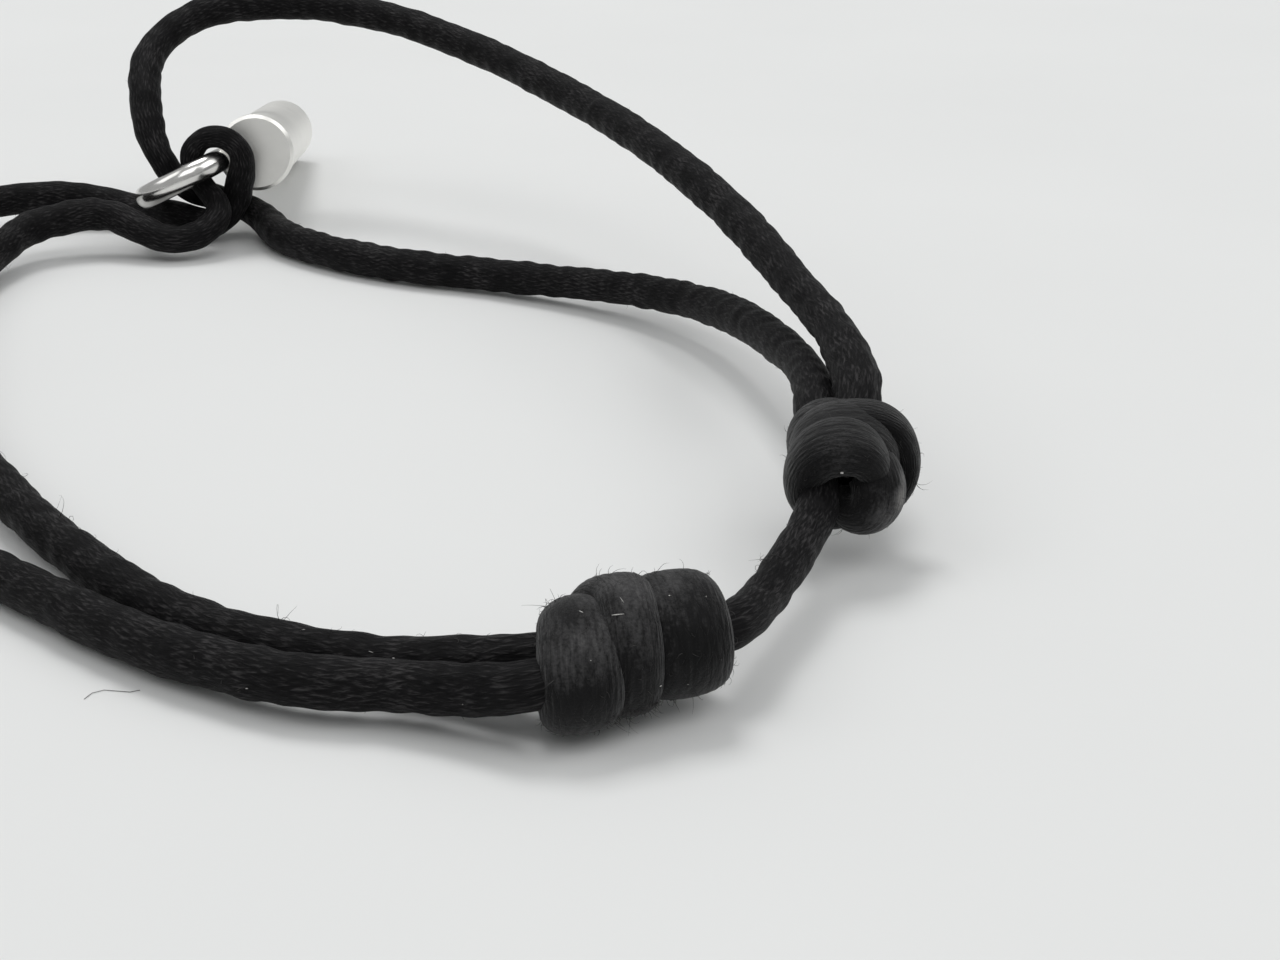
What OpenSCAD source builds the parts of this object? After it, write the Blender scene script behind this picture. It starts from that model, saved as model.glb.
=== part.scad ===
// Cord bracelet: one round braided cord tied into a loop by two sliding knots, with a ring and barrel
// charm threaded on it. It lies on a flat surface at z = 0, as it is laid down. All sizes are millimetres.

/* [Cord] */
// Diameter of the braided cord where it runs free
cord_d = 2.0; // [1.8:0.1:2.0]
// Share of that diameter in the stretch that the knots grip
gripped_share = 0.85; // [0.75:0.05:0.85]
// Space between a knot's bore and the cord in it
bore_gap = 0.1; // [0.05:0.05:0.2]

/* [Knots] */
// Length of the near knot along the cord
near_knot_l = 6.6; // [6:0.1:6.6]
// Radius over the crest of the near knot's middle wrap
near_knot_r = 2.35; // [2.1:0.05:2.35]
// Length of the far knot along the cord
far_knot_l = 5.6; // [5:0.1:5.6]
// Radius over the crest of the far knot's middle wrap
far_knot_r = 2.65; // [2.4:0.05:2.65]
// Depth of the grooves between one wrap and the next
groove_depth = 0.35; // [0.2:0.05:0.4]
// Angle at which the wraps cross the cord, in degrees
wrap_lean = 5; // [0:1:8]

/* [Charm] */
// Diameter of the ring to the middle of its wire
ring_d = 5.0; // [4.9:0.1:5.1]
// Diameter of the ring's wire
ring_wire_d = 1.4; // [1.1:0.1:1.4]
// How far the ring leans up from the surface, in degrees
ring_tilt = 26; // [25:1:27]
// How far the ring's far side dips, in degrees
ring_dip = 6; // [5:1:7]
// Diameter of the barrel over its collar
barrel_d = 4.6; // [4.2:0.1:4.6]
// Length of the barrel with its domed end
barrel_l = 21.8; // [12:0.1:21.8]
// Width of the collar at the barrel's ring end
collar_w = 1.3; // [0.8:0.1:2]
// Step from the collar down to the barrel's body
collar_step = 0.15; // [0.05:0.05:0.3]

/* [Hidden] */

cord_sides = 8;
knot_sides = 20;
ring_step = 7;
dome_steps = 6;

// Columns of a cord's route: place, and the share of its full diameter there
X = 0;
Y = 1;
Z = 2;
SHARE = 3;

// Where the gripped cord enters and leaves each knot, and where it starts to bend between them
near_in = [13.5, -40.0, 2.2];
near_out = [20.0, -38.5, 2.6];
near_bend = [20.3, -38.4, 2.6];
far_bend = [23.9, -29.1, 2.9];
far_in = [23.9, -28.7, 3.0];
far_out = [24.1, -23.2, 4.2];

// From the near knot along the inner strand, round the ring's high side, and back as the outer strand
route_left = [
    [13.4, -40.0, 2.2, 0.90],
    [11.7, -39.1, 1.6, 0.95],
    [8.9, -38.2, 1.1, 1],
    [3.5, -36.4, 1.05, 1],
    [-5.3, -28.2, 1.15, 1],
    [-9.3, -22.8, 1.4, 1],
    [-14.4, -14.2, 1.5, 1],
    [-18.1, -3.7, 1.4, 1],
    [-19.9, 5.8, 1.3, 1],
    [-19.9, 12.0, 1.6, 1],
    [-18.3, 16.3, 2.2, 1],
    [-14.5, 17.5, 2.4, 0.96],
    [-12.3, 16.5, 1.7, 0.90],
    [-10.6, 16.0, 1.3, 0.84],
    [-8.8, 16.8, 1.6, 0.80],
    [-8.1, 18.1, 2.5, 0.76],
    [-8.8, 19.3, 3.2, 0.70],
    [-9.8, 19.8, 4.3, 0.68],
    [-10.0, 19.8, 5.4, 0.66],
    [-9.4, 19.8, 6.4, 0.66],
    [-8.3, 19.8, 6.7, 0.66],
    [-7.2, 19.8, 6.2, 0.68],
    [-6.8, 19.8, 5.1, 0.76],
    [-7.2, 20.0, 3.8, 0.86],
    [-7.6, 20.3, 2.5, 0.88],
    [-9.2, 20.6, 1.1, 0.92],
    [-11.3, 21.4, 1.25, 0.98],
    [-14.3, 23.4, 1.2, 1],
    [-18.2, 24.2, 1.8, 1],
    [-22.1, 22.4, 2.1, 1],
    [-25.5, 16.8, 1.8, 1],
    [-27.1, 6.3, 1.4, 1],
    [-13.4, -25.7, 1.05, 1],
    [-6.9, -31.0, 1.05, 1],
    [2.1, -38.2, 1.25, 1],
    [5.7, -40.0, 1.4, 0.95],
    [9.1, -40.5, 1.45, 0.95],
    [11.9, -41.5, 1.85, 0.92],
    [13.8, -42.2, 2.4, 0.90]
];

// From the far knot along the surface, up through the ring, and back through the air
route_right = [
    [24.3, -23.1, 4.2, 0.88],
    [24.4, -20.2, 4.5, 0.9],
    [23.3, -11.2, 3.9, 1],
    [17.5, 3.3, 1.9, 1],
    [9.3, 9.1, 1.1, 1],
    [3.2, 11.6, 1.05, 1],
    [-1.8, 15.0, 1.05, 1],
    [-4.6, 18.2, 1.05, 1],
    [-5.6, 20.5, 1.05, 1],
    [-7.1, 22.2, 1.6, 0.88],
    [-8.9, 22.4, 2.2, 0.80],
    [-10.6, 21.3, 3.1, 0.74],
    [-11.4, 20.6, 4.2, 0.74],
    [-12.6, 21.4, 6.3, 0.92],
    [-13.2, 23.2, 8.2, 1],
    [-13.5, 26.2, 10.2, 1],
    [-11.2, 29.6, 12.2, 1],
    [-5.9, 30.8, 12.8, 1],
    [0.6, 28.8, 12.4, 1],
    [6.5, 24.3, 11.3, 1],
    [12.2, 16.6, 10.2, 1],
    [19.8, 0.6, 8.7, 1],
    [21.7, -4.2, 8.0, 1],
    [23.9, -11.2, 6.9, 1],
    [25.8, -19.6, 5.9, 1],
    [25.9, -23.2, 5.2, 0.92]
];

// The gripped stretch, straight inside each knot
route_between = [
    [near_in[X], near_in[Y], near_in[Z], gripped_share],
    [near_out[X], near_out[Y], near_out[Z], gripped_share],
    [near_bend[X], near_bend[Y], near_bend[Z], gripped_share],
    [21.3, -35.8, 2.3, gripped_share],
    [22.7, -32.3, 2.5, gripped_share],
    [far_bend[X], far_bend[Y], far_bend[Z], gripped_share],
    [far_out[X], far_out[Y], far_out[Z], gripped_share]
];

// Columns of a knot's wraps: how far along the knot each ends, as a share of its length, and the
// radii at its start, crest and end, each measured down from the crest of the middle wrap
END = 0;
DROP_IN = 1;
DROP_TOP = 2;
DROP_OUT = 3;

near_wraps = [
    [0.32, 1.15, 0.15, groove_depth],
    [0.57, groove_depth, 0, groove_depth],
    [1.00, groove_depth, 0.25, 1.2]
];
far_wraps = [
    [0.34, 0.95, 0.35, groove_depth],
    [0.68, groove_depth, 0, groove_depth],
    [1.00, groove_depth, 0.2, 0.95]
];
wrap_stations = [0, 0.08, 0.25, 0.5, 0.75, 0.92];

// How far a knot's wraps stand off beside and above its bore: at its first face, at its second, and
// how much more in the middle
near_shift = [[0.35, -0.2], [0, 0.05], [0.2, 0.3]];
far_shift = [[0.6, 0.2], [0.9, 0], [0.65, 0.15]];

ring_centre = [-10.6, 20.3, 4.0];
barrel_face = [-6.4, 21.6, 5.25];
barrel_end = [-8.5, 43.1, 2.05];

knot_bore_d = cord_d * gripped_share + 2 * bore_gap;

function unit(v) = v / norm(v);
function place(row) = [row[X], row[Y], row[Z]];
function mix(a, b, t) = a * (1 - t) + b * t;
function gap_after(rows, i) = norm(place(rows[i + 1]) - place(rows[i]));
function way_after(rows, i) = unit(place(rows[i + 1]) - place(rows[i]));

// Direction of a route at one of its points, leaning to the shorter of the two runs beside it
function heading(rows, i) =
    i == 0 ? way_after(rows, 0)
    : i == len(rows) - 1 ? way_after(rows, i - 1)
    : unit(way_after(rows, i - 1) * gap_after(rows, i) + way_after(rows, i) * gap_after(rows, i - 1));

// Place and share of a route part of the way from one of its points to the next
function eased(rows, i, t) =
    let (
        d = gap_after(rows, i),
        p = place(rows[i]) * (2 * t ^ 3 - 3 * t ^ 2 + 1)
            + heading(rows, i) * d * (t ^ 3 - 2 * t ^ 2 + t)
            + place(rows[i + 1]) * (3 * t ^ 2 - 2 * t ^ 3)
            + heading(rows, i + 1) * d * (t ^ 3 - t ^ 2)
    )
    [p[X], p[Y], p[Z], mix(rows[i][SHARE], rows[i + 1][SHARE], t)];

// A route with rings added wherever two of its points stand far apart
function with_steps(rows, step) = concat(
    [for (i = [0 : len(rows) - 2])
        let (n = max(1, round(gap_after(rows, i) / step)))
        for (k = [0 : n - 1]) eased(rows, i, k / n)],
    [rows[len(rows) - 1]]
);

// Sideways directions carried along a route without twist
function sides_along(ways) = [
    for (i = 0, s = unit(cross(ways[0], [0, 0, 1])); i < len(ways);
        i = i + 1, s = i < len(ways) ? unit(s - ways[i] * (s * ways[i])) : s) s
];

// Faces of a closed skin over rings of n points each
function skin_faces(rings, n) = concat(
    [[for (k = [n - 1 : -1 : 0]) k]],
    [for (i = [0 : rings - 2]) for (k = [0 : n - 1])
        let (a = i * n + k, b = i * n + (k + 1) % n)
        each [[a, b, a + n], [b, b + n, a + n]]],
    [[for (k = [0 : n - 1]) (rings - 1) * n + k]]
);

// Cord along a route, its first and last faces square to the given directions
module cord(rows, way_in, way_out) {
    rings = with_steps(rows, ring_step);
    last = len(rings) - 1;
    ways = [for (i = [0 : last]) i == 0 ? way_in : i == last ? way_out : heading(rings, i)];
    sides = sides_along(ways);
    points = [for (i = [0 : last]) for (k = [0 : cord_sides - 1])
        let (a = 360 * k / cord_sides)
        place(rings[i]) + (sides[i] * cos(a) + cross(sides[i], ways[i]) * sin(a))
            * cord_d / 2 * rings[i][SHARE]];
    polyhedron(points, skin_faces(last + 1, cord_sides));
}

// Stands its children up along the line from p to q
module along(p, q) {
    v = q - p;
    translate(p)
        rotate([0, acos(v[Z] / norm(v)), atan2(v[Y], v[X])])
            children();
}

// Share of a wrap's full height at a place across it: a half round with full shoulders
function crown(u) = sqrt(1 - (1 - u) ^ 2);

function wrap_radius(wrap, t, r) =
    let (edge = t < 0.5 ? wrap[DROP_IN] : wrap[DROP_OUT])
    r - mix(edge, wrap[DROP_TOP], crown(t < 0.5 ? 2 * t : 2 - 2 * t));

// Sliding knot from p to q: wraps of cord fused into one barrel, bored for the gripped cord
module knot(p, q, l, r, wraps, shifts) {
    way = unit(q - p);
    side = unit(cross(way, [0, 0, 1]));
    up = cross(side, way);
    stations = concat(
        [for (i = [0 : len(wraps) - 1])
            let (from = i == 0 ? 0 : wraps[i - 1][END])
            for (t = wrap_stations) [mix(from, wraps[i][END], t), wrap_radius(wraps[i], t, r)]],
        [[1, r - wraps[len(wraps) - 1][DROP_OUT]]]
    );
    points = [for (s = stations) for (k = [0 : knot_sides - 1])
        let (
            a = 360 * k / knot_sides,
            shift = mix(shifts[0], shifts[1], s[0]) + shifts[2] * sin(180 * s[0]),
            lean = tan(wrap_lean) * sin(180 * s[0]) * sin(a) * s[1]
        )
        p + way * (s[0] * l - lean) + side * (shift[0] + s[1] * cos(a)) + up * (shift[1] + s[1] * sin(a))];
    difference() {
        polyhedron(points, skin_faces(len(stations), knot_sides));
        along(p - way, q + way) cylinder(d = knot_bore_d, h = norm(q - p) + 2, $fn = 32);
    }
}

// Outline of half the barrel: flat ring end, collar, straight body, domed far end
function barrel_outline() =
    let (
        r = barrel_d / 2,
        body_r = r - collar_step,
        edge = 0.2,
        dome = body_r * 0.5
    )
    concat(
        [[0, 0], [r - edge, 0], [r, edge], [r, collar_w], [body_r, collar_w + collar_step]],
        [for (k = [0 : dome_steps])
            let (a = 90 * k / dome_steps)
            [k == dome_steps ? 0 : body_r * cos(a), barrel_l - dome + dome * sin(a)]]
    );

module loop_left() {
    way = unit(near_out - near_in);
    color("#18181b") cord(route_left, -way, way);
}

module loop_right() {
    way = unit(far_out - far_in);
    color("#1b1b1e") cord(route_right, way, -way);
}

module cord_between() {
    color("#202023") cord(route_between, unit(near_out - near_in), unit(far_out - far_in));
}

module knot_near() {
    color("#29292c") knot(near_in, near_out, near_knot_l, near_knot_r, near_wraps, near_shift);
}

module knot_far() {
    color("#2d2d30") knot(far_in, far_out, far_knot_l, far_knot_r, far_wraps, far_shift);
}

module charm() {
    color("#c9c8c5") union() {
        translate(ring_centre)
            rotate([-ring_dip, -ring_tilt, 0])
                rotate_extrude($fn = 64)
                    translate([ring_d / 2, 0]) circle(d = ring_wire_d, $fn = 32);
        along(barrel_face, barrel_end) rotate_extrude($fn = 64) polygon(barrel_outline());
    }
}

loop_left();
loop_right();
cord_between();
knot_near();
knot_far();
charm();
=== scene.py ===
import math
import random

import bpy
import numpy as np
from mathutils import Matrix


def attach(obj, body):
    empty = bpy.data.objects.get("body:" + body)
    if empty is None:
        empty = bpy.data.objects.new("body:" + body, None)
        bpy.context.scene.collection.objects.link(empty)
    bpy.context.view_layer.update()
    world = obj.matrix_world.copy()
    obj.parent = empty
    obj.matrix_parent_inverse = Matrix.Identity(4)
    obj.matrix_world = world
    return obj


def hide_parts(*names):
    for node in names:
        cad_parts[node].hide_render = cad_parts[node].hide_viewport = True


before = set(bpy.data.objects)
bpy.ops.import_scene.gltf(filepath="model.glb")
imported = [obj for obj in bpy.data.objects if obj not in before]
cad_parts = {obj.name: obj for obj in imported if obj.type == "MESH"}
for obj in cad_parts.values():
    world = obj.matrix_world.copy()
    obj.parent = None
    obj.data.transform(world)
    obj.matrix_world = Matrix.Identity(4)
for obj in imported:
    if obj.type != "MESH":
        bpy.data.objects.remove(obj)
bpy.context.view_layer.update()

# Cord bracelet: one braided cord with two sliding knots, a ring and barrel charm, on a pale surface.
# Lengths are written in millimetres and multiplied by MM where a mesh or an object takes them.
MM = 0.001
# The cord's diameter, and its share of that where the knots grip it
CORD_D = 2.0
GRIPPED = 0.85

bpy.ops.object.select_all(action="DESELECT")


# Camera

# The photograph's view: frame and focal length in pixels, how far it looks down, the eye's place in mm,
# and its unit directions
FRAME_WIDE = 1280
FRAME_HIGH = 960
FOCAL = 2000
TILT = math.radians(22)
EYE = np.array([17.1, -99.2, 32.5])
EYE_RIGHT = np.array([1.0, 0.0, 0.0])
EYE_UP = np.array([0.0, math.sin(TILT), math.cos(TILT)])
EYE_AHEAD = np.array([0.0, math.cos(TILT), -math.sin(TILT)])


def make_camera():
    data = bpy.data.cameras.new("camera")
    data.sensor_width = 36.0
    data.lens = data.sensor_width * FOCAL / FRAME_WIDE
    data.clip_start = 0.002
    data.clip_end = 20.0
    eye = bpy.data.objects.new("camera", data)
    eye.location = EYE * MM
    eye.rotation_euler = (math.pi / 2 - TILT, 0, 0)
    bpy.context.scene.collection.objects.link(eye)
    bpy.context.scene.camera = eye


# Routes: x, y, z and the share of the cord's full diameter there

NEAR_IN = (13.5, -40.0, 2.2)
NEAR_OUT = (20.0, -38.5, 2.6)
FAR_IN = (23.9, -28.7, 3.0)
FAR_OUT = (24.1, -23.2, 4.2)

ROUTE_LEFT = [
    (13.4, -40.0, 2.2, 0.9),
    (11.7, -39.1, 1.6, 0.95),
    (8.9, -38.2, 1.1, 1),
    (3.5, -36.4, 1.05, 1),
    (-5.3, -28.2, 1.15, 1),
    (-9.3, -22.8, 1.4, 1),
    (-14.4, -14.2, 1.5, 1),
    (-18.1, -3.7, 1.4, 1),
    (-19.9, 5.8, 1.3, 1),
    (-19.9, 12.0, 1.6, 1),
    (-18.3, 16.3, 2.2, 1),
    (-14.5, 17.5, 2.4, 0.96),
    (-12.3, 16.5, 1.7, 0.9),
    (-10.6, 16.0, 1.3, 0.84),
    (-8.8, 16.8, 1.6, 0.8),
    (-8.1, 18.1, 2.5, 0.76),
    (-8.8, 19.3, 3.2, 0.7),
    (-9.8, 19.8, 4.3, 0.68),
    (-10.0, 19.8, 5.4, 0.66),
    (-9.4, 19.8, 6.4, 0.66),
    (-8.3, 19.8, 6.7, 0.66),
    (-7.2, 19.8, 6.2, 0.68),
    (-6.8, 19.8, 5.1, 0.76),
    (-7.2, 20.0, 3.8, 0.86),
    (-7.6, 20.3, 2.5, 0.88),
    (-9.2, 20.6, 1.1, 0.92),
    (-11.3, 21.4, 1.25, 0.98),
    (-14.3, 23.4, 1.2, 1),
    (-18.2, 24.2, 1.8, 1),
    (-22.1, 22.4, 2.1, 1),
    (-25.5, 16.8, 1.8, 1),
    (-27.1, 6.3, 1.4, 1),
    (-13.4, -25.7, 1.05, 1),
    (-6.9, -31.0, 1.05, 1),
    (2.1, -38.2, 1.25, 1),
    (5.7, -40.0, 1.4, 0.95),
    (9.1, -40.5, 1.45, 0.95),
    (11.9, -41.5, 1.85, 0.92),
    (13.8, -42.2, 2.4, 0.9),
]
ROUTE_RIGHT = [
    (24.3, -23.1, 4.2, 0.88),
    (24.4, -20.2, 4.5, 0.9),
    (23.3, -11.2, 3.9, 1),
    (17.5, 3.3, 1.9, 1),
    (9.3, 9.1, 1.1, 1),
    (3.2, 11.6, 1.05, 1),
    (-1.8, 15.0, 1.05, 1),
    (-4.6, 18.2, 1.05, 1),
    (-5.6, 20.5, 1.05, 1),
    (-7.1, 22.2, 1.6, 0.88),
    (-8.9, 22.4, 2.2, 0.8),
    (-10.6, 21.3, 3.1, 0.74),
    (-11.4, 20.6, 4.2, 0.74),
    (-12.6, 21.4, 6.3, 0.92),
    (-13.2, 23.2, 8.2, 1),
    (-13.5, 26.2, 10.2, 1),
    (-11.2, 29.6, 12.2, 1),
    (-5.9, 30.8, 12.8, 1),
    (0.6, 28.8, 12.4, 1),
    (6.5, 24.3, 11.3, 1),
    (12.2, 16.6, 10.2, 1),
    (19.8, 0.6, 8.7, 1),
    (21.7, -4.2, 8.0, 1),
    (23.9, -11.2, 6.9, 1),
    (25.8, -19.6, 5.9, 1),
    (25.9, -23.2, 5.2, 0.92),
]
# The gripped stretch, and the ends that run on inside the two knots
ROUTE_BETWEEN = [
    (16.8, -39.2, 2.4, GRIPPED),
    (*NEAR_OUT, GRIPPED),
    (21.3, -35.8, 2.3, GRIPPED),
    (22.7, -32.3, 2.5, GRIPPED),
    (*FAR_IN, GRIPPED),
    (24.0, -25.9, 3.6, GRIPPED),
]
END_IN_NEAR_KNOT = (14.7, -40.9, 2.3, 0.5)
END_IN_FAR_KNOT = (25.6, -24.5, 4.6, 0.8)
WHOLE_ROUTE = [END_IN_NEAR_KNOT, *ROUTE_LEFT[::-1], *ROUTE_BETWEEN, *ROUTE_RIGHT, END_IN_FAR_KNOT]


# Curves and tubes

def units(vectors):
    """Each vector at length 1."""
    return vectors / np.linalg.norm(vectors, axis=-1, keepdims=True)


def run_lengths(points):
    """Length of the line so far at each of its points."""
    return np.concatenate([[0.0], np.cumsum(np.linalg.norm(np.diff(points, axis=0), axis=1))])


def even_lengths(lengths, step):
    """Even steps along a line, from its length so far at each of its points."""
    return np.linspace(0, lengths[-1], round(lengths[-1] / step) + 1)


def rows_at(wanted, known, rows):
    """Rows read off at wanted places of a line, from the known place of each row."""
    return np.stack([np.interp(wanted, known, column) for column in rows.T], 1)


def eased_rows(rows, sigma):
    """Evenly spaced samples averaged over their neighbours, weighted as a bell of that many samples."""
    reach = math.ceil(3 * sigma)
    bell = np.exp(-0.5 * (np.arange(-reach, reach + 1) / sigma) ** 2)
    bell /= bell.sum()
    first = 2 * rows[:1] - rows[reach:0:-1]
    last = 2 * rows[-1:] - rows[-2:-reach - 2:-1]
    padded = np.vstack([first, rows, last])
    return np.stack([np.convolve(column, bell, "valid") for column in padded.T], 1)


# Samples between two rows of a route, and millimetres over which its bends are eased
ROW_SAMPLES = 40
BEND_EASE = 0.45


def smooth_route(rows, step):
    """Evenly spaced points and shares along a route, its direction leaning to the shorter run at each row."""
    rows = np.array(rows, float)
    runs = np.diff(rows[:, :3], axis=0)
    gaps = np.linalg.norm(runs, axis=1)
    ways = runs / gaps[:, None]
    inner = units(ways[:-1] * gaps[1:, None] + ways[1:] * gaps[:-1, None])
    heads = np.vstack([ways[:1], inner, ways[-1:]])
    found = []
    for i, gap in enumerate(gaps):
        t = np.linspace(0, 1, ROW_SAMPLES)[:-1, None]
        place = (
            rows[i, :3] * (2 * t**3 - 3 * t**2 + 1)
            + heads[i] * gap * (t**3 - 2 * t**2 + t)
            + rows[i + 1, :3] * (3 * t**2 - 2 * t**3)
            + heads[i + 1] * gap * (t**3 - t**2)
        )
        found.append(np.hstack([place, rows[i, 3] * (1 - t) + rows[i + 1, 3] * t]))
    found = np.vstack([*found, rows[-1:]])
    lengths = run_lengths(found[:, :3])
    return eased_rows(rows_at(even_lengths(lengths, step), lengths, found), BEND_EASE / step)


def carried_sides(points, first):
    """Unit directions along a line of points, and sideways directions carried along it without twist."""
    ways = units(np.gradient(points, axis=0))
    sides = np.empty_like(ways)
    side = np.array(first, float)
    for i, way in enumerate(ways):
        side = side - way * side.dot(way)
        side = side / np.linalg.norm(side)
        sides[i] = side
    return ways, sides


def tube_data(rings, lengths, start=0):
    """Points, faces and face-corner UVs of a closed tube: UVs are once round, and millimetres along."""
    count, around = rings.shape[:2]
    i, k = np.meshgrid(np.arange(count - 1), np.arange(around), indexing="ij")
    k_next = (k + 1) % around
    here, ahead = i * around, (i + 1) * around
    faces = np.stack([here + k, here + k_next, ahead + k_next, ahead + k], -1)
    faces = (faces.reshape(-1, 4) + start).tolist()
    ends = [
        [start + n for n in range(around)][::-1],
        [start + (count - 1) * around + n for n in range(around)],
    ]
    u = np.stack([k, k + 1, k + 1, k], -1) / around
    v = np.stack([lengths[i], lengths[i], lengths[i + 1], lengths[i + 1]], -1)
    skin = np.stack([u, v], -1).reshape(-1, 2)
    caps = np.repeat([[0.0, lengths[0]], [0.0, lengths[-1]]], around, axis=0)
    return rings.reshape(-1, 3), faces + ends, np.vstack([skin, caps])


def add_tubes(name, tubes):
    """One smooth-shaded piece from several tubes, each given as rings of points in mm and their lengths."""
    points, faces, corners = [], [], []
    start = 0
    for rings, lengths in tubes:
        some_points, some_faces, some_corners = tube_data(rings, lengths, start)
        points.append(some_points)
        faces += some_faces
        corners.append(some_corners)
        start += len(some_points)
    mesh = bpy.data.meshes.new(name)
    mesh.from_pydata((np.vstack(points) * MM).tolist(), [], faces)
    layer = mesh.uv_layers.new(name="lay")
    layer.data.foreach_set("uv", np.vstack(corners).ravel())
    mesh.polygons.foreach_set("use_smooth", [True] * len(mesh.polygons))
    piece = bpy.data.objects.new(name, mesh)
    bpy.context.scene.collection.objects.link(piece)
    return piece


# Materials

def new_material(name):
    material = bpy.data.materials.new(name)
    material.use_nodes = True
    tree = material.node_tree
    return material, tree, tree.nodes["Principled BSDF"]


def add_node(tree, kind, inputs=None, **settings):
    node = tree.nodes.new(kind)
    for key, value in settings.items():
        setattr(node, key, value)
    for key, value in (inputs or {}).items():
        if isinstance(value, bpy.types.NodeSocket):
            tree.links.new(value, node.inputs[key])
        else:
            node.inputs[key].default_value = value
    return node


def calc(tree, operation, *values):
    return add_node(tree, "ShaderNodeMath", dict(enumerate(values)), operation=operation).outputs[0]


def pick(tree, factor, low, high):
    """low where factor is 0 and high where it is 1."""
    return calc(tree, "ADD", low, calc(tree, "MULTIPLY", factor, calc(tree, "SUBTRACT", high, low)))


def vector(tree, x, y, z):
    return add_node(tree, "ShaderNodeCombineXYZ", {0: x, 1: y, 2: z}).outputs[0]


def noise(tree, place, scale, detail=2.0, roughness=0.5):
    inputs = {"Vector": place, "Scale": scale, "Detail": detail, "Roughness": roughness}
    return add_node(tree, "ShaderNodeTexNoise", inputs).outputs[0]


def ramp(tree, factor, *stops):
    """Colour along a factor from pairs of place and linear colour."""
    node = add_node(tree, "ShaderNodeValToRGB", {0: factor})
    elements = node.color_ramp.elements
    while len(elements) < len(stops):
        elements.new(0.5)
    for element, (place, colour) in zip(elements, stops):
        element.position = place
        element.color = (*colour, 1)
    return node.outputs[0]


def lay_of(tree):
    """The cord's own coordinates: turns round it, and millimetres along it."""
    uv = add_node(tree, "ShaderNodeUVMap", uv_map="lay").outputs[0]
    parts = add_node(tree, "ShaderNodeSeparateXYZ", {0: uv})
    return parts.outputs[0], parts.outputs[1]


def plait(tree, u, v, strands, lead):
    """Height of strands that cross over and under, each once round in lead millimetres."""
    slant = calc(tree, "DIVIDE", v, lead)
    a = calc(tree, "MULTIPLY", calc(tree, "ADD", u, slant), strands)
    b = calc(tree, "MULTIPLY", calc(tree, "SUBTRACT", u, slant), strands)
    a_cell = calc(tree, "FLOOR", a)
    b_cell = calc(tree, "FLOOR", b)
    under = calc(tree, "FLOORED_MODULO", calc(tree, "ADD", a_cell, b_cell), 2)
    across = pick(tree, under, calc(tree, "SUBTRACT", a, a_cell), calc(tree, "SUBTRACT", b, b_cell))
    along = pick(tree, under, calc(tree, "SUBTRACT", b, b_cell), calc(tree, "SUBTRACT", a, a_cell))
    edge = calc(tree, "ABSOLUTE", calc(tree, "MULTIPLY_ADD", across, 2, -1))
    tip = calc(tree, "ABSOLUTE", calc(tree, "MULTIPLY_ADD", along, 2, -1))
    crown = calc(tree, "SUBTRACT", 1, calc(tree, "POWER", edge, 2.4))
    return calc(tree, "MULTIPLY", crown, calc(tree, "SUBTRACT", 1, calc(tree, "MULTIPLY", tip, 0.5)))


# Strands round the cord's braid and round the wound braid, and millimetres in which one goes once round
STRANDS = 24
STRAND_LEAD = 27
WOUND_STRANDS = 26
WOUND_LEAD = 14
# Short flecks of thread: how many round the cord, how many in a millimetre, and their lean in turns a
# millimetre, one way and the other
FLECKS_ROUND = 62
FLECKS_ALONG = 1.5
FLECK_LEAN = 0.022


def flecks(tree, u, v, lean):
    across = calc(tree, "MULTIPLY", calc(tree, "MULTIPLY_ADD", v, lean, u), FLECKS_ROUND)
    # The lean also picks another part of the noise, so that the two ways differ
    place = vector(tree, across, calc(tree, "MULTIPLY", v, FLECKS_ALONG), lean * 90)
    return noise(tree, place, 1.0, 3.0, 0.6)


def cord_material():
    material, tree, shader = new_material("satin_braid")
    u, v = lay_of(tree)
    place = add_node(tree, "ShaderNodeTexCoord").outputs["Object"]
    drift = noise(tree, place, 420, 2.0)
    loose_u = calc(tree, "MULTIPLY_ADD", drift, 0.04, u)
    height = plait(tree, loose_u, calc(tree, "MULTIPLY_ADD", drift, 1.1, v), STRANDS, STRAND_LEAD)
    fleck = calc(tree, "MAXIMUM", *(flecks(tree, loose_u, v, lean) for lean in (-FLECK_LEAN, FLECK_LEAN)))
    patch = noise(tree, place, 700, 3.0, 0.6)
    # The strands' height also darkens the colour in the grooves between them and where they dive under, a
    # painted shade, besides setting the bump
    weave = calc(tree, "MULTIPLY_ADD", height, 0.16, calc(tree, "MULTIPLY", fleck, 1.1))
    shade = calc(tree, "MULTIPLY", weave, calc(tree, "MULTIPLY_ADD", patch, 0.6, 0.7))
    colour = ramp(
        tree, shade,
        (0.45, (0.0032, 0.0031, 0.0034)),
        (0.70, (0.0078, 0.0075, 0.0080)),
        (0.95, (0.045, 0.043, 0.044)),
    )
    tree.links.new(colour, shader.inputs["Base Color"])
    gloss = calc(tree, "MULTIPLY_ADD", fleck, -0.3, 0.68)
    tree.links.new(gloss, shader.inputs["Roughness"])
    shader.inputs["Specular IOR Level"].default_value = 0.055
    shader.inputs["Sheen Weight"].default_value = 0.01
    shader.inputs["Sheen Roughness"].default_value = 0.4
    bump = add_node(tree, "ShaderNodeBump", {"Height": weave, "Strength": 1.0, "Distance": 0.00005})
    tree.links.new(bump.outputs[0], shader.inputs["Normal"])
    return material


# Rubbed or frayed, lighter spots on the knots: middle and radius in mm, strength
WORN = [
    ((14.6, -42.4, 3.5), 1.9, 0.35),
    ((27.25, -28.35, 3.95), 0.45, 1.5),
    ((27.12, -28.75, 3.45), 0.5, 1.9),
    ((26.95, -28.75, 3.05), 0.4, 1.2),
    ((25.2, -28.4, 5.4), 0.8, 0.35),
    ((26.2, -29.2, 2.6), 1.6, 0.55),
]


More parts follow.
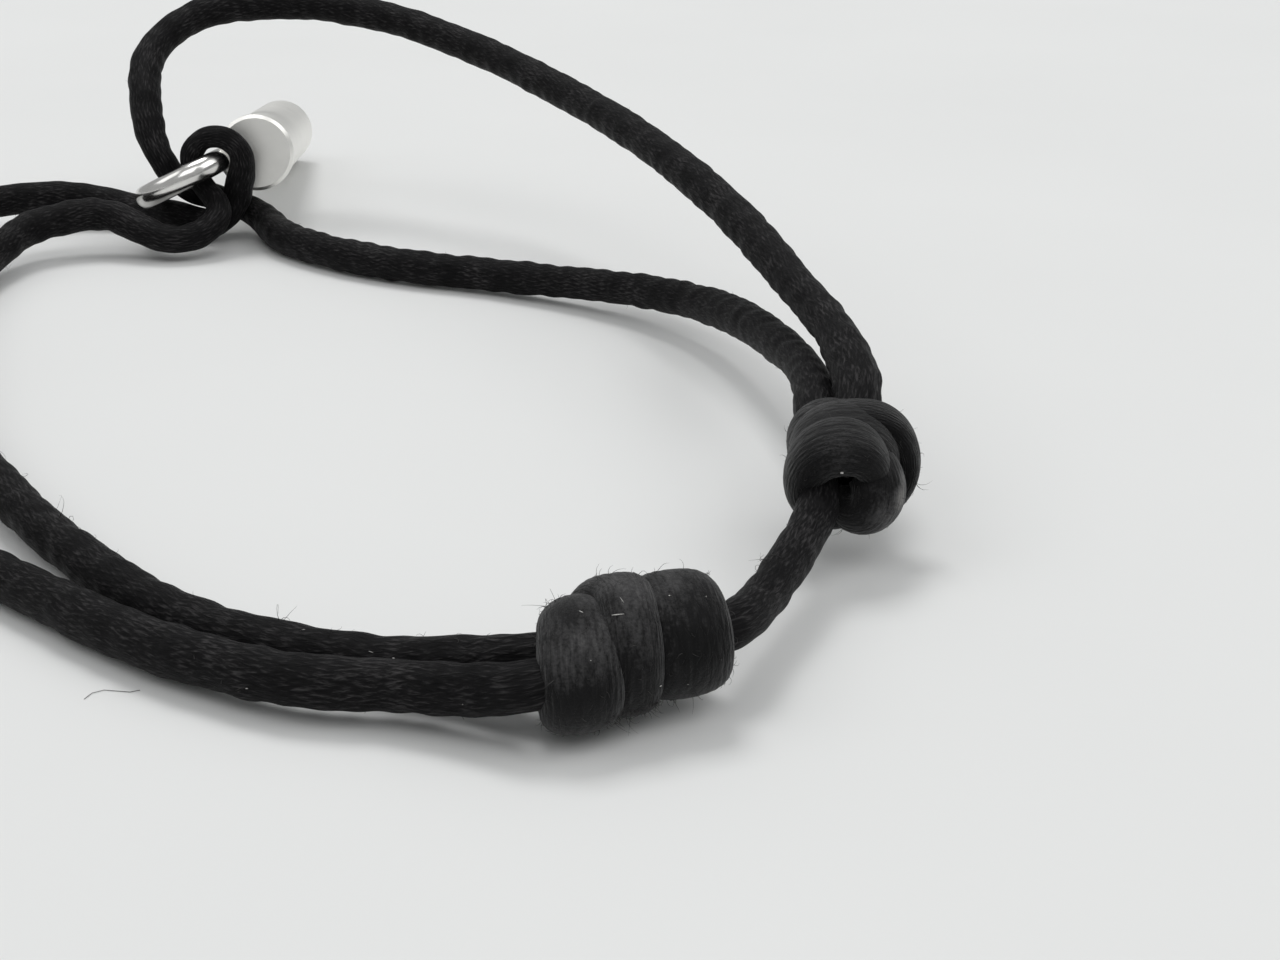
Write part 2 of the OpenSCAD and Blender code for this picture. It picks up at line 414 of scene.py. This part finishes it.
def worn_at(tree, place):
    """How much the worn spots lighten a place, in all."""
    lightening = 0
    for spot, radius, strength in WORN:
        inputs = {0: place, 1: [c * MM for c in spot]}
        reach = add_node(tree, "ShaderNodeVectorMath", inputs, operation="DISTANCE").outputs["Value"]
        inputs = {"Value": reach, "From Min": 0.0, "From Max": radius * MM, "To Min": strength, "To Max": 0.0}
        lightening = calc(tree, "ADD", lightening, add_node(tree, "ShaderNodeMapRange", inputs).outputs[0])
    return lightening


def knot_material(name, dark, top_light):
    """dark is how far patches stay free of grey fuzz; the second number is painted top light, how much the
    upper side is lightened.
    """
    material, tree, shader = new_material(name)
    u, v = lay_of(tree)
    height = plait(tree, u, v, WOUND_STRANDS, WOUND_LEAD)
    thread_place = vector(tree, calc(tree, "MULTIPLY", u, 60), calc(tree, "MULTIPLY", v, 0.7), 0)
    thread = calc(tree, "MULTIPLY_ADD", noise(tree, thread_place, 1.0, 2.5, 0.6), 0.65, 0.18)
    place = add_node(tree, "ShaderNodeTexCoord").outputs["Object"]
    patch = noise(tree, place, 280, 5.0, 0.65)
    fuzz = noise(tree, place, 9000, 3.0, 0.7)
    # The strands' height also darkens the colour in the grooves between them, a painted shade, besides
    # feeding the relief
    weave = calc(tree, "MULTIPLY_ADD", height, 0.14, thread)
    mixed = calc(tree, "MULTIPLY_ADD", fuzz, 0.75, calc(tree, "ADD", weave, -0.2))
    # Painted top light: the colour is lightened as far as the surface faces up
    normal = add_node(tree, "ShaderNodeNewGeometry").outputs["Normal"]
    facing_up = add_node(tree, "ShaderNodeSeparateXYZ", {0: normal}).outputs[2]
    painted_top_light = calc(tree, "MULTIPLY", calc(tree, "MAXIMUM", facing_up, 0), top_light)
    # Worn spots, and the painted top light on the upper side
    lightening = calc(tree, "ADD", worn_at(tree, place), painted_top_light)
    lit = calc(tree, "ADD", lightening, calc(tree, "MULTIPLY_ADD", patch, 2.5, -dark))
    shade = calc(tree, "MULTIPLY", calc(tree, "MULTIPLY", mixed, lit), 0.5)
    colour = ramp(
        tree, shade,
        (0.1, (0.0018, 0.0018, 0.0020)),
        (0.275, (0.0058, 0.0056, 0.0060)),
        (0.5, (0.050, 0.049, 0.050)),
        (1.0, (0.16, 0.155, 0.15)),
    )
    tree.links.new(colour, shader.inputs["Base Color"])
    shader.inputs["Roughness"].default_value = 0.6
    shader.inputs["Specular IOR Level"].default_value = 0.08
    shader.inputs["Sheen Weight"].default_value = 0.16
    shader.inputs["Sheen Roughness"].default_value = 0.5
    relief = calc(tree, "MULTIPLY_ADD", fuzz, 0.25, weave)
    bump = add_node(tree, "ShaderNodeBump", {"Height": relief, "Strength": 1.0, "Distance": 0.0001})
    tree.links.new(bump.outputs[0], shader.inputs["Normal"])
    return material


# Where along y, in mm, the ring's bright polish gives way to the barrel's satin
RING_ENDS = 20.6
BARREL_STARTS = 20.9


def charm_material():
    """Bright polish on the ring, brushed satin on the barrel."""
    material, tree, shader = new_material("polished_silver")
    place = add_node(tree, "ShaderNodeTexCoord").outputs["Object"]
    depth = add_node(tree, "ShaderNodeSeparateXYZ", {0: place}).outputs[1]
    inputs = {"Value": depth, "From Min": RING_ENDS * MM, "From Max": BARREL_STARTS * MM}
    barrel = add_node(tree, "ShaderNodeMapRange", inputs).outputs[0]
    wear = noise(tree, place, 500, 4.0, 0.6)
    stretched = add_node(tree, "ShaderNodeMapping", {"Vector": place, "Scale": (6000, 500, 6000)}).outputs[0]
    scratch = noise(tree, stretched, 1.0, 2.0)
    bright = ramp(tree, wear, (0.3, (0.66, 0.65, 0.63)), (0.7, (0.80, 0.79, 0.77)))
    satin = ramp(tree, wear, (0.3, (0.90, 0.89, 0.855)), (0.7, (0.96, 0.95, 0.915)))
    mixed = add_node(tree, "ShaderNodeMix", {0: barrel, 6: bright, 7: satin}, data_type="RGBA").outputs[2]
    tree.links.new(mixed, shader.inputs["Base Color"])
    shader.inputs["Metallic"].default_value = 1
    gloss = calc(tree, "MULTIPLY_ADD", wear, 0.16, pick(tree, barrel, 0.12, 0.34))
    tree.links.new(gloss, shader.inputs["Roughness"])
    bump = add_node(tree, "ShaderNodeBump", {"Height": scratch, "Strength": 0.25, "Distance": 0.00001})
    tree.links.new(bump.outputs[0], shader.inputs["Normal"])
    return material


def mottled_material(name, scale, detail, stops, roughness):
    """A plain material whose colour varies softly, and its shader."""
    material, tree, shader = new_material(name)
    place = add_node(tree, "ShaderNodeTexCoord").outputs["Object"]
    tree.links.new(ramp(tree, noise(tree, place, scale, detail), *stops), shader.inputs["Base Color"])
    shader.inputs["Roughness"].default_value = roughness
    return material, shader


def floor_material():
    stops = ((0.3, (0.775, 0.78, 0.775)), (0.7, (0.795, 0.80, 0.795)))
    material, shader = mottled_material("pale_surface", 25, 3.0, stops, 0.85)
    shader.inputs["Specular IOR Level"].default_value = 0.2
    return material


def lint_material():
    stops = ((0.35, (0.30, 0.29, 0.28)), (0.65, (0.60, 0.59, 0.57)))
    return mottled_material("pale_lint", 4000, 1.0, stops, 0.7)[0]


def fibre_material():
    stops = ((0.35, (0.012, 0.011, 0.011)), (0.65, (0.05, 0.048, 0.046)))
    return mottled_material("loose_fibre", 2500, 1.0, stops, 0.5)[0]


# Cord

CORD_SIDES = 40
CORD_STEP = 0.2
# Lowest height in mm of what rests on the surface
LOWEST = 0.01
# Unevenness of the braid, in shares of its radius: thick and thin along it, and out of round
SWELL = 0.045
OUT_OF_ROUND = 0.04
# Pleats where the cord is pulled into a knot: their depth, how many, how they twist in radians a
# millimetre, and the millimetres over which they fade
PLEAT = 0.035
PLEATS = 9
PLEAT_TWIST = 0.4
PLEAT_REACH = 4.0


def waves(draw, places, periods):
    """Smooth unevenness about 0 along a line: one sine of each period, with random phases."""
    total = np.zeros_like(places)
    for period in periods:
        total = total + np.sin(2 * math.pi * places / period + draw.uniform(0, 2 * math.pi))
    return total / len(periods)


# The braid lies slimmer than the full cord: its usual share, and where that changes, as the place and the
# reach in mm and by how much
USUAL_SHARE = 0.95
SHARE_CHANGES = [
    ((-9.0, -27.0, 1.3), 13.0, -0.06),
    ((24.4, -16.5, 5.2), 7.0, -0.09),
    ((25.0, -22.0, 5.0), 3.7, 0.165),
    ((15.0, 5.5, 1.4), 7.5, -0.07),
    ((-10.6, 20.3, 4.0), 9.0, 0.05),
]


def slimness(points):
    """Share of the cord's full diameter that the braid takes at each point."""
    share = np.full(len(points), USUAL_SHARE)
    for place, reach, change in SHARE_CHANGES:
        share += change * np.exp(-(np.linalg.norm(points - np.array(place), axis=1) / reach) ** 2)
    return share


def make_cord():
    """The whole braided cord in place of its three nodes."""
    draw = random.Random(4)
    line = smooth_route(WHOLE_ROUTE, CORD_STEP)
    points, shares = line[:, :3], line[:, 3]
    lengths = run_lengths(points)
    ways, sides = carried_sides(points, (0, 0, -1))
    ups = np.cross(ways, sides)
    turn = 2 * math.pi * np.arange(CORD_SIDES) / CORD_SIDES
    swell = 1 + SWELL * waves(draw, lengths, (1.7, 2.9, 5.3, 8.9))
    uneven = OUT_OF_ROUND * sum(
        waves(draw, lengths, (1.3, 2.1, 3.7))[:, None] * np.cos(order * turn + draw.uniform(0, 6))
        for order in (1, 2, 3)
    )
    knots = np.array([ROUTE_LEFT[-1][:3], ROUTE_LEFT[0][:3], ROUTE_RIGHT[0][:3], ROUTE_RIGHT[-1][:3]])
    away = np.linalg.norm(points[:, None] - knots[None], axis=2).min(axis=1)
    fade = np.exp(-((away / PLEAT_REACH) ** 2))[:, None]
    pleats = PLEAT * fade * np.cos(PLEATS * turn + PLEAT_TWIST * lengths[:, None])
    girth = shares * slimness(points) * CORD_D / 2
    radius = girth[:, None] * (swell[:, None] + uneven + pleats)
    out = sides[:, None] * np.cos(turn)[None, :, None] + ups[:, None] * np.sin(turn)[None, :, None]
    rings = points[:, None] + out * radius[..., None]
    rings[..., 2] = np.maximum(rings[..., 2], LOWEST)
    cord = add_tubes("braided_cord", [(rings, lengths)])
    cord.data.materials.append(cord_material())
    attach(cord, "root")
    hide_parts("loop_left", "loop_right", "cord_between")
    return cord


# Knots

# Columns of a wrap: turns round the bore, millimetres along it, distance of the wrap's middle from the
# knot's middle line, half its width, half its thickness, and how square its section is (2 is an ellipse).
# Turn 0 is beside the bore, 0.25 above it.
NEAR_WRAPS = [[
    (-0.85, 5.0, 0.9, 0.6, 0.5, 2.0),
    (-0.55, 5.3, 1.1, 0.9, 0.7, 2.0),
    (-0.25, 4.85, 1.3, 1.6, 0.88, 2.2),
    (0.0, 5.0, 1.3, 1.55, 0.9, 2.4),
    (0.25, 5.05, 1.25, 1.42, 0.9, 2.3),
    (0.5, 4.3, 1.45, 1.15, 0.78, 2.4),
    (0.75, 2.8, 1.6, 0.98, 0.78, 2.8),
    (1.0, 3.0, 1.65, 1.0, 0.8, 2.8),
    (1.25, 3.2, 1.62, 0.98, 0.8, 2.8),
    (1.5, 2.2, 1.55, 1.1, 0.75, 2.6),
    (1.76, 1.2, 1.38, 1.1, 0.66, 2.2),
    (1.89, 1.15, 1.7, 1.3, 0.9, 2.4),
    (1.98, 1.15, 2.1, 1.45, 1.1, 2.5),
    (2.08, 1.3, 1.75, 1.4, 0.95, 2.2),
    (2.25, 1.7, 1.28, 1.3, 0.78, 2.0),
    (2.5, 1.3, 1.1, 1.0, 0.75, 2.0),
    (2.8, 1.4, 0.9, 0.6, 0.5, 2.0),
]]
FAR_WRAPS = [
    [
        (-0.28, 0.9, 1.3, 0.4, 0.3, 2.0),
        (-0.20, 1.3, 1.85, 0.55, 0.36, 2.1),
        (-0.12, 1.8, 2.15, 0.7, 0.42, 2.2),
        (-0.04, 2.4, 2.3, 0.8, 0.42, 2.3),
        (0.04, 3.0, 2.3, 0.85, 0.42, 2.4),
        (0.12, 3.5, 2.05, 0.9, 0.46, 2.5),
        (0.20, 3.7, 1.58, 0.95, 0.5, 2.4),
        (0.3, 3.85, 1.15, 1.0, 0.6, 2.4),
        (0.4, 4.15, 1.4, 1.2, 0.72, 2.4),
        (0.5, 4.3, 1.62, 1.3, 0.8, 2.6),
        (0.75, 3.9, 1.5, 1.25, 0.75, 2.4),
        (0.88, 3.3, 1.3, 1.2, 0.65, 2.4),
        (0.96, 3.0, 1.22, 1.3, 0.66, 2.6),
        (1.04, 2.9, 1.2, 1.4, 0.68, 2.6),
        (1.14, 2.9, 1.34, 1.5, 0.74, 2.6),
        (1.25, 2.75, 1.26, 1.5, 0.74, 2.8),
        (1.4, 2.95, 1.52, 1.55, 0.8, 2.8),
        (1.5, 3.1, 1.75, 1.4, 0.8, 2.6),
        (1.7, 3.0, 1.1, 0.8, 0.6, 2.0),
    ],
    [
        (-0.06, 1.6, 0.9, 0.8, 0.6, 2.0),
        (0.04, 1.5, 1.02, 1.05, 0.66, 2.2),
        (0.12, 1.35, 1.25, 1.2, 0.74, 2.5),
        (0.22, 1.3, 1.55, 1.35, 0.86, 2.6),
        (0.3, 1.3, 1.62, 1.35, 0.9, 2.6),
        (0.4, 1.35, 1.65, 1.3, 0.85, 2.5),
        (0.5, 1.3, 1.6, 1.25, 0.8, 2.3),
        (0.65, 1.2, 1.4, 1.1, 0.75, 2.2),
        (0.8, 1.3, 1.1, 0.9, 0.6, 2.0),
    ],
    [
        (0.09, 2.0, 1.2, 0.7, 0.6, 2.0),
        (0.03, 1.1, 1.4, 1.1, 1.05, 2.0),
        (-0.04, 0.6, 1.42, 1.25, 1.18, 2.0),
        (-0.11, 0.6, 1.25, 1.15, 1.05, 2.0),
        (-0.2, 0.8, 0.9, 0.85, 0.8, 2.0),
        (-0.28, 1.4, 0.6, 0.6, 0.6, 2.0),
    ],
]
# How far a knot's middle line stands off beside and above its bore: at its first face, at its second,
# and how much more in the middle
NEAR_SHIFT = ((0.35, -0.2), (0.0, 0.05), (0.2, 0.3))
FAR_SHIFT = ((0.6, 0.2), (0.9, 0.0), (0.65, 0.15))
WRAP_SIDES = 132
WRAP_STEP = 0.12
# Samples of a wrap's table, and the turns over which its rows are eased
TURN_SAMPLES = 900
TURN_EASE = 0.04
# Threads that stand out round a wrap, how far in mm, and how far they wander round it in radians
THREADS = 30
RIDGE = 0.022
THREAD_WANDER = 0.1
# Bundles of threads round a wrap, with the threads lower between them
BUNDLES = 5
# How far in mm a wrap is thicker here and there
WRAP_SWELL = 0.03


def wrap_rings(rows, start, end, shifts, draw):
    """Rings of a flattened wrap of cord wound round the line from start to end, and its lengths in mm."""
    start, end = np.array(start, float), np.array(end, float)
    way = units(end - start)
    side = units(np.cross(way, (0, 0, 1)))
    up = np.cross(side, way)
    rows = np.array(rows, float)
    ordered = rows[np.argsort(rows[:, 0])]
    turns = np.linspace(rows[0, 0], rows[-1, 0], TURN_SAMPLES)
    sigma = TURN_SAMPLES * TURN_EASE / abs(rows[-1, 0] - rows[0, 0])
    table = eased_rows(rows_at(turns, ordered[:, 0], ordered), sigma)
    share = np.clip(table[:, 1] / np.linalg.norm(end - start), 0, 1)[:, None]
    first, second, more = np.array(shifts)
    shift = (1 - share) * first + share * second + more * np.sin(math.pi * share)
    angle = 2 * math.pi * table[:, :1]
    radial = side * np.cos(angle) + up * np.sin(angle)
    points = start + way * table[:, 1:2] + side * shift[:, :1] + up * shift[:, 1:] + radial * table[:, 2:3]
    found = run_lengths(points)
    even = even_lengths(found, WRAP_STEP)
    points, radial, section = (rows_at(even, found, part) for part in (points, radial, table[:, 3:]))
    half_width, half_thick, square = section[:, :1], section[:, 1:2], section[:, 2:]
    heads = units(np.gradient(points, axis=0))
    radial = units(radial - heads * (radial * heads).sum(1, keepdims=True))
    across = np.cross(radial, heads)
    turn = 2 * math.pi * np.arange(WRAP_SIDES) / WRAP_SIDES
    x = np.sign(np.cos(turn)) * np.abs(np.cos(turn)) ** (2 / square)
    y = np.sign(np.sin(turn)) * np.abs(np.sin(turn)) ** (2 / square)
    wander = THREAD_WANDER * waves(draw, even, (2.3, 3.9, 7.1))[:, None]
    ridge = 0.5 + 0.5 * np.cos(THREADS * (turn[None] + wander) + 1.5 * waves(draw, even, (5.1, 9.7))[:, None])
    deep = 0.55 + 0.45 * np.cos(BUNDLES * turn[None] + 2.5 * waves(draw, even, (3.1, 6.7))[:, None])
    swell = WRAP_SWELL * waves(draw, even, (1.9, 3.3, 5.9))[:, None] * np.cos(turn[None] * 2 + 1)
    grown = RIDGE * ridge * deep + swell
    rings = (
        points[:, None]
        + across[:, None] * (x * half_width + grown * np.cos(turn))[..., None]
        + radial[:, None] * (y * half_thick + grown * np.sin(turn))[..., None]
    )
    rings[..., 2] = np.maximum(rings[..., 2], LOWEST)
    return rings, even


def make_knot(name, node, strands, start, end, shifts, material, seed):
    """One wound knot in place of its node, from a table of wraps for each strand that shows."""
    draw = random.Random(seed)
    piece = add_tubes(name, [wrap_rings(rows, start, end, shifts, draw) for rows in strands])
    piece.data.materials.append(material)
    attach(piece, "root")
    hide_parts(node)
    return piece


# Loose fibres

FIBRE_RADIUS = 0.011
FIBRE_POINTS = 7
# How deep in mm a fibre is rooted, and the height in mm that it keeps over the surface
FIBRE_ROOTED = 0.03
FIBRE_LOWEST = 0.03


def corner_points(piece):
    """Vertex places in millimetres, and unit normals."""
    mesh = piece.data
    places, normals = np.empty(len(mesh.vertices) * 3), np.empty(len(mesh.vertices) * 3)
    mesh.vertices.foreach_get("co", places)
    mesh.vertices.foreach_get("normal", normals)
    return places.reshape(-1, 3) / MM, normals.reshape(-1, 3)


def seen_at(places, across, down):
    """Number of the point nearest the camera among those that it sees at a place on the frame."""
    away = places - EYE
    depth = away @ EYE_AHEAD
    x = FRAME_WIDE / 2 + FOCAL * (away @ EYE_RIGHT) / depth
    y = FRAME_HIGH / 2 - FOCAL * (away @ EYE_UP) / depth
    off = np.hypot(x - across, y - down)
    return int(np.argmin(np.where(off < off.min() + 2, depth, np.inf)))


def thin_tube(points, radii, around=3):
    """A thin tube along points, as rings and lengths."""
    ways, sides = carried_sides(points, (0.3, 0.5, 0.8))
    ups = np.cross(ways, sides)
    angle = 2 * math.pi * np.arange(around) / around
    out = sides[:, None] * np.cos(angle)[None, :, None] + ups[:, None] * np.sin(angle)[None, :, None]
    return points[:, None] + out * radii[:, None, None], run_lengths(points)


def fibre_rings(draw, start, heading, length, curl):
    """A thin tapering fibre that wanders off from its start, as rings and lengths."""
    points = [np.array(start, float)]
    way = units(np.array(heading, float))
    turn = np.array([draw.gauss(0, 1) for _ in range(3)]) * curl
    for _ in range(FIBRE_POINTS - 1):
        way = units(way + np.cross(turn, way) + 0.2 * curl * np.array([draw.gauss(0, 1) for _ in range(3)]))
        points.append(points[-1] + way * length / (FIBRE_POINTS - 1))
    points = np.array(points)
    points[:, 2] = np.maximum(points[:, 2], FIBRE_LOWEST)
    return thin_tube(points, FIBRE_RADIUS * (1 - 0.75 * np.linspace(0, 1, FIBRE_POINTS)))


# Fibres that stand out in the photograph: where on the frame, their lengths in mm and how many
TUFTS_ON_NEAR_KNOT = [
    (543, 603, 0.9, 3), (553, 598, 0.8, 4), (566, 594, 0.5, 2), (584, 590, 0.4, 2), (598, 578, 0.9, 2),
    (612, 574, 0.7, 3), (640, 574, 0.6, 3), (652, 572, 0.7, 3), (680, 570, 0.5, 2), (700, 577, 0.5, 2),
    (530, 640, 0.4, 2), (612, 716, 0.9, 6), (632, 712, 0.8, 12), (650, 706, 0.7, 10), (672, 702, 0.5, 6),
    (622, 716, 0.4, 14), (640, 711, 0.4, 16), (658, 706, 0.35, 12), (606, 722, 0.35, 8),
    (700, 694, 0.9, 3), (722, 676, 0.5, 2), (590, 722, 0.6, 4),
]
TUFTS_ON_FAR_KNOT = [
    (918, 482, 0.7, 5), (914, 470, 0.4, 2), (905, 497, 0.5, 3), (890, 518, 0.5, 3), (868, 531, 0.4, 3),
    (845, 529, 0.5, 3), (790, 504, 0.4, 2), (787, 440, 0.3, 2),
]
TUFTS_ON_CORD = [
    (78, 495, 1.6, 3), (70, 490, 1.0, 2), (262, 616, 0.9, 2), (275, 617, 1.1, 3), (120, 540, 0.6, 2),
    (330, 630, 0.5, 2), (420, 634, 0.5, 2), (755, 560, 0.8, 3), (762, 550, 0.9, 3), (30, 455, 0.9, 2),
    (8, 275, 1.1, 3), (4, 430, 0.8, 2), (450, 640, 0.4, 2), (240, 690, 0.5, 2), (200, 595, 0.5, 1),
]


# Light specks and threads caught on the surfaces: where on the frame, length and radius in mm, slant
# on the frame in degrees
LINT = [
    (616, 616, 0.40, 0.018, 4), (582, 612, 0.14, 0.015, -40), (670, 594, 0.05, 0.020, 0),
    (706, 599, 0.05, 0.011, 90), (592, 661, 0.04, 0.012, 0), (662, 687, 0.08, 0.015, 10),
    (690, 685, 0.04, 0.010, 0), (842, 474, 0.12, 0.05, 0), (393, 655, 0.07, 0.020, 0),
    (370, 650, 0.18, 0.010, -25), (303, 628, 0.12, 0.010, 30), (246, 690, 0.09, 0.020, 10),
    (463, 706, 0.04, 0.012, 0), (622, 599, 0.25, 0.009, -70),
]
# A speck's thickness along it, in shares of its radius
LINT_SHAPE = np.array([0.5, 0.9, 1.0, 0.9, 0.5])
# One long hair on the surface: where it runs on the frame, and its radius in mm
FLOOR_HAIR = [(84, 699), (92, 693), (104, 690), (118, 691), (130, 692), (140, 690)]
HAIR_RADIUS = 0.012
# Short loose fibres all over each piece: how many, and their usual length in mm
LOOSE_ON_NEAR_KNOT = (1100, 0.32)
LOOSE_ON_FAR_KNOT = (700, 0.26)
LOOSE_ON_CORD = (500, 0.2)


def make_lint(pieces, material):
    """Pale specks and threads caught where the photograph has them."""
    places, normals = (np.vstack(rows) for rows in zip(*(corner_points(piece) for piece in pieces)))
    tubes = []
    for x, y, length, radius, slant in LINT:
        number = seen_at(places, x, y)
        way = EYE_RIGHT * math.cos(math.radians(slant)) + EYE_UP * math.sin(math.radians(slant))
        way = units(way - normals[number] * way.dot(normals[number]))
        start = places[number] + normals[number] * radius * 0.7 - way * length / 2
        line = start + way * np.linspace(0, length, len(LINT_SHAPE))[:, None]
        tubes.append(thin_tube(line, radius * LINT_SHAPE, around=5))
    piece = add_tubes("lint", tubes)
    piece.data.materials.append(material)
    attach(piece, "root")


def hair_on_floor():
    """The long hair, where the lines of sight through its places on the frame meet the surface."""
    rays = EYE_AHEAD + np.array([
        (EYE_RIGHT * (x - FRAME_WIDE / 2) + EYE_UP * (FRAME_HIGH / 2 - y)) / FOCAL for x, y in FLOOR_HAIR
    ])
    points = EYE + rays * ((FIBRE_LOWEST - EYE[2]) / rays[:, 2:])
    return thin_tube(points, np.full(len(FLOOR_HAIR), HAIR_RADIUS))


def make_fibres(cord, near_knot, far_knot, material):
    """Tufts and single fibres that stand off the cord and the knots, and the hair on the surface."""
    draw = random.Random(7)
    tubes = []
    for piece, tufts, (loose, reach) in (
        (near_knot, TUFTS_ON_NEAR_KNOT, LOOSE_ON_NEAR_KNOT),
        (far_knot, TUFTS_ON_FAR_KNOT, LOOSE_ON_FAR_KNOT),
        (cord, TUFTS_ON_CORD, LOOSE_ON_CORD),
    ):
        places, normals = corner_points(piece)
        chosen = [(seen_at(places, x, y), length) for x, y, length, many in tufts for _ in range(many)]
        chosen += [(draw.randrange(len(places)), reach * (0.4 + draw.random())) for _ in range(loose)]
        for number, length in chosen:
            number = min(len(places) - 1, max(0, number + draw.randint(-3, 3)))
            heading = normals[number] + 0.7 * np.array([draw.gauss(0, 1) for _ in range(3)])
            root = places[number] - FIBRE_ROOTED * normals[number]
            length *= 0.6 + 0.6 * draw.random()
            curl = 0.15 + 0.35 * draw.random()
            tubes.append(fibre_rings(draw, root, heading, length, curl))
    tubes.append(hair_on_floor())
    piece = add_tubes("stray_fibres", tubes)
    piece.data.materials.append(material)
    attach(piece, "root")


# Floor and light

# The surface's side in metres
FLOOR_SIDE = 6


def make_floor():
    bpy.ops.mesh.primitive_plane_add(size=FLOOR_SIDE, location=(0, 0, 0))
    floor = bpy.context.object
    floor.name = "floor"
    floor.data.materials.append(floor_material())


WORLD_COLOUR = (0.975, 0.99, 0.99, 1)
WORLD_STRENGTH = 0.4
# Softboxes: place and size in metres, power in watts
LAMPS = [
    ("softbox_left", (-0.9, -0.1, 1.0), 0.8, 2.1),
    ("softbox_right", (0.9, -0.1, 1.0), 0.8, 3.4),
    ("softbox_front", (0.1, -0.7, 1.05), 0.8, 2.8),
    ("softbox_back", (-0.15, 0.5, 1.1), 0.45, 4.6),
]


def make_lights():
    scene = bpy.context.scene
    scene.view_settings.view_transform = "Standard"
    world = bpy.data.worlds.new("studio")
    scene.world = world
    world.use_nodes = True
    world.node_tree.nodes["Background"].inputs["Color"].default_value = WORLD_COLOUR
    world.node_tree.nodes["Background"].inputs["Strength"].default_value = WORLD_STRENGTH
    for name, place, size, energy in LAMPS:
        data = bpy.data.lights.new(name, "AREA")
        data.size = size
        data.energy = energy
        lamp = bpy.data.objects.new(name, data)
        lamp.location = place
        # It faces the bracelet, which lies at the origin
        lamp.rotation_euler = (-lamp.location).to_track_quat("-Z", "Y").to_euler()
        scene.collection.objects.link(lamp)


make_camera()
cord = make_cord()
near_knot = make_knot(
    "knot_near_wraps", "knot_near", NEAR_WRAPS, NEAR_IN, NEAR_OUT, NEAR_SHIFT,
    knot_material("wound_braid_near", dark=0.7, top_light=0.45), seed=11,
)
far_knot = make_knot(
    "knot_far_wraps", "knot_far", FAR_WRAPS, FAR_IN, FAR_OUT, FAR_SHIFT,
    knot_material("wound_braid_far", dark=0.66, top_light=0.05), seed=12,
)
make_fibres(cord, near_knot, far_knot, fibre_material())
make_lint((cord, near_knot, far_knot), lint_material())
silver = charm_material()
for material_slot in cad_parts["charm"].material_slots:
    material_slot.material = silver
make_floor()
make_lights()
